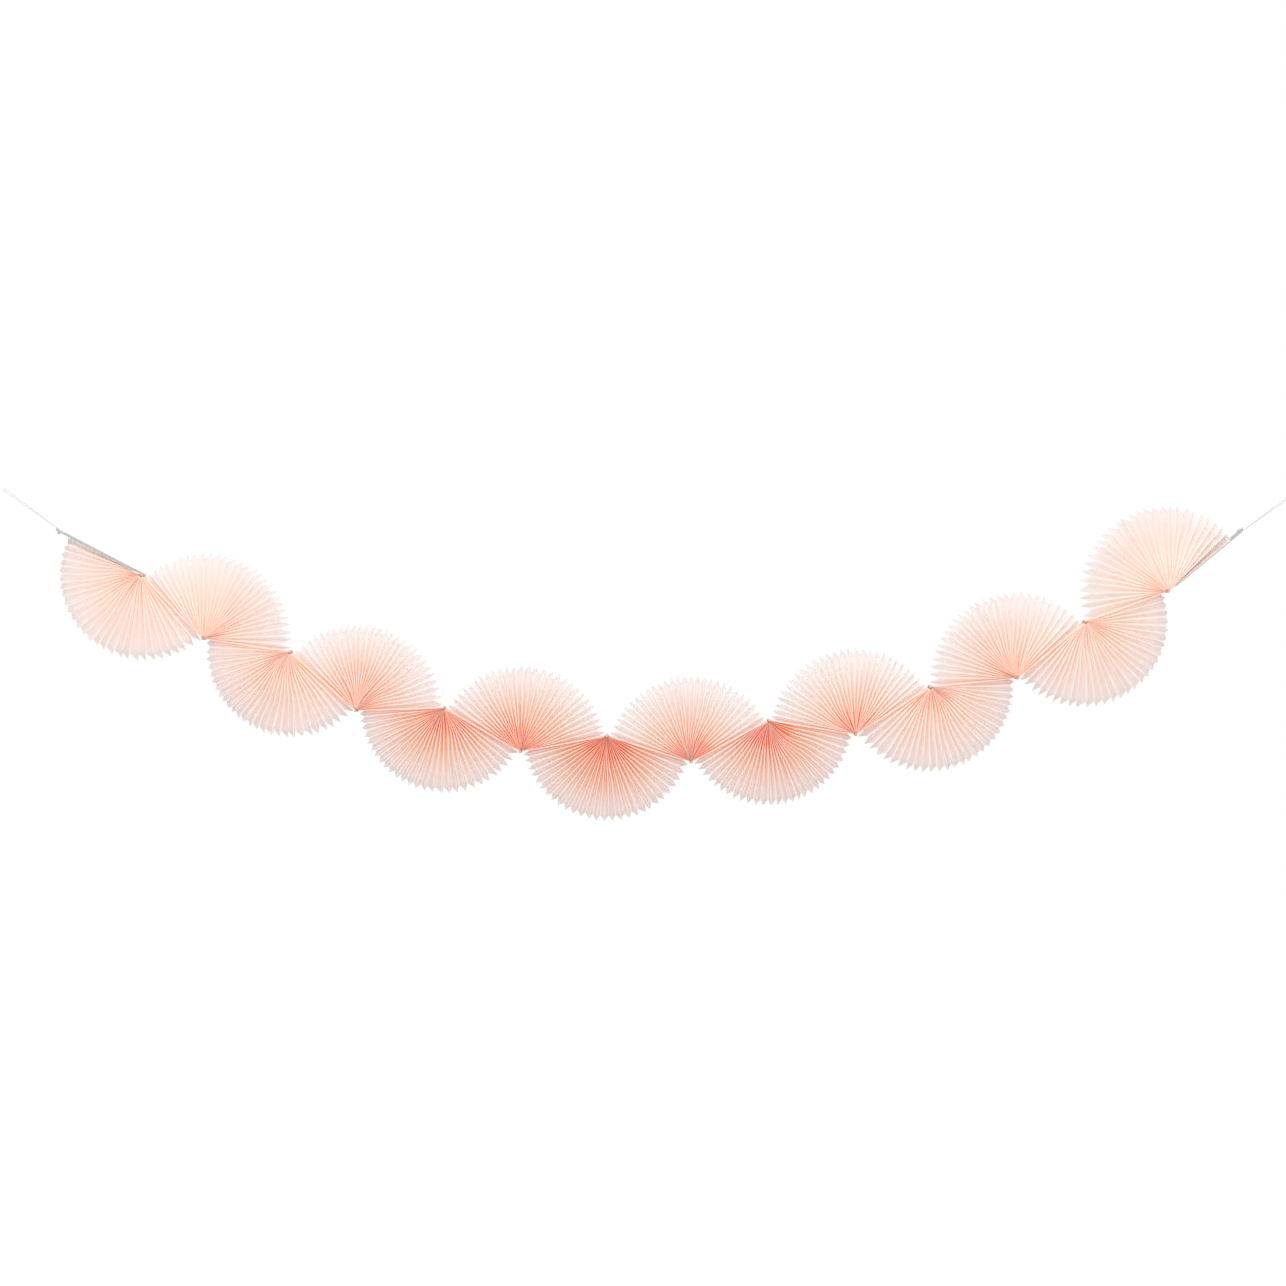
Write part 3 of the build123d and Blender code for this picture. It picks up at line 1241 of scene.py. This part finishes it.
    def build(self) -> None:
        """Makes every piece."""
        pivots = self.pivots()
        headings = self.headings(pivots)
        self.build_fans(pivots, headings)
        self.build_leaves(pivots, headings)
        self.build_ends(pivots)
        LOG.info("garland: %d fans", len(pivots))


@dataclass
class Studio:
    """A white floor and surround, soft lamps and the camera."""

    centre: tuple[float, float, float] = (0.9225, 0.0, -0.2212)
    camera_distance: float = 2.9
    picture_width: float = 1.8596
    floor_height: float = -1.35
    surround: float = 0.63
    more_above: float = 0.05
    bounces: int = 256

    def build_camera(self) -> None:
        """A camera that looks along +Y at the garland's middle, as far off as the photograph's."""
        data = bpy.data.cameras.new("camera")
        data.sensor_width = 36.0
        data.lens = data.sensor_width * self.camera_distance / self.picture_width
        camera = bpy.data.objects.new("camera", data)
        camera.location = (self.centre[0], -self.camera_distance, self.centre[2])
        camera.rotation_euler = (math.pi / 2, 0, 0)
        bpy.context.scene.collection.objects.link(camera)
        bpy.context.scene.camera = camera

    def build_world(self) -> None:
        """A surround that is brighter from above, and that the camera sees as white."""
        world = bpy.data.worlds.new("surround")
        world.use_nodes = True
        bpy.context.scene.world = world
        bench = Bench(world.node_tree)
        path = bench.add("ShaderNodeLightPath")
        seen = bench.math("MAXIMUM", path.outputs["Is Camera Ray"], path.outputs["Is Glossy Ray"])
        seen = bench.math("MAXIMUM", seen, path.outputs["Is Transmission Ray"])
        way = bench.add("ShaderNodeTexCoord").outputs["Generated"]
        height = bench.add("ShaderNodeSeparateXYZ", {"Vector": way}).outputs["Z"]
        soft = bench.math("MULTIPLY_ADD", height, self.more_above, self.surround)
        unlit = bench.math("SUBTRACT", 1.0, seen)
        strength = bench.math("MULTIPLY_ADD", unlit, soft, seen)
        light = bench.add("ShaderNodeBackground", {"Color": (1, 1, 1, 1), "Strength": strength})
        out = bench.add("ShaderNodeOutputWorld")
        bench.tree.links.new(light.outputs[0], out.inputs["Surface"])

    def build_floor(self) -> None:
        """A pale floor well under the garland, which comes out white."""
        half = 6.0
        x, y, z = self.centre[0], self.centre[1], self.floor_height
        points = np.array([(x - half, y - half, z), (x + half, y - half, z), (x + half, y + half, z), (x - half, y + half, z)])
        floor = show("studio_floor", mesh_of("studio_floor", points, np.array([[0, 1, 2, 3]])))
        made = bpy.data.materials.new("pale floor")
        made.use_nodes = True
        bench = Bench(made.node_tree)
        matt = bench.add("ShaderNodeBsdfDiffuse", {"Color": (0.7, 0.7, 0.7, 1)})
        path = bench.add("ShaderNodeLightPath")
        glow = bench.add(
            "ShaderNodeEmission",
            {"Color": (1, 1, 1, 1), "Strength": bench.math("MULTIPLY", path.outputs["Is Camera Ray"], 0.6)},
        )
        both = bench.add("ShaderNodeAddShader", {0: matt.outputs[0], 1: glow.outputs[0]})
        out = bench.add("ShaderNodeOutputMaterial")
        bench.tree.links.new(both.outputs[0], out.inputs["Surface"])
        floor.data.materials.append(made)

    def build_lamp(
        self,
        name: str,
        place: tuple,
        size: float,
        power: float,
        towards: Optional[tuple] = None,
    ) -> None:
        """A square soft lamp, out of the camera's sight.

        Args:
            name: the lamp's name.
            place: where it stands.
            size: its side.
            power: in watts.
            towards: what it shines at, and otherwise the garland's middle.
        """
        data = bpy.data.lights.new(name, "AREA")
        data.size = size
        data.energy = power
        lamp = bpy.data.objects.new(name, data)
        lamp.location = place
        lamp.visible_camera = False
        way = Vector(towards or self.centre) - Vector(place)
        lamp.rotation_euler = way.to_track_quat("-Z", "Y").to_euler()
        bpy.context.scene.collection.objects.link(lamp)

    def build(self) -> None:
        """Makes the whole studio."""
        self.build_camera()
        self.build_world()
        self.build_floor()
        self.build_lamp("key", (0.92, -0.9, 1.9), 2.2, 18.0)
        self.build_lamp("fill", (0.9, -2.9, 0.6), 1.8, 34.0)
        self.build_lamp("back left", (-0.05, 0.6, 0.05), 0.5, 1.5, towards=(0.25, 0.0, -0.15))
        self.build_lamp("back right", (1.9, 0.6, 0.1), 0.5, 1.0, towards=(1.62, 0.0, -0.15))
        scene = bpy.context.scene
        scene.view_settings.view_transform = "Standard"
        # light that enters a deep pleat is passed on many times before it leaves
        scene.cycles.max_bounces = self.bounces
        scene.cycles.diffuse_bounces = self.bounces
        scene.cycles.transmission_bounces = self.bounces


def main() -> None:
    """Builds the garland and its studio."""
    logging.basicConfig(level=logging.INFO, format="%(name)s: %(message)s")
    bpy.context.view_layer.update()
    Garland(frame["joints"], frame["nodes"]).build()
    Studio().build()


if __name__ == "__main__":
    main()
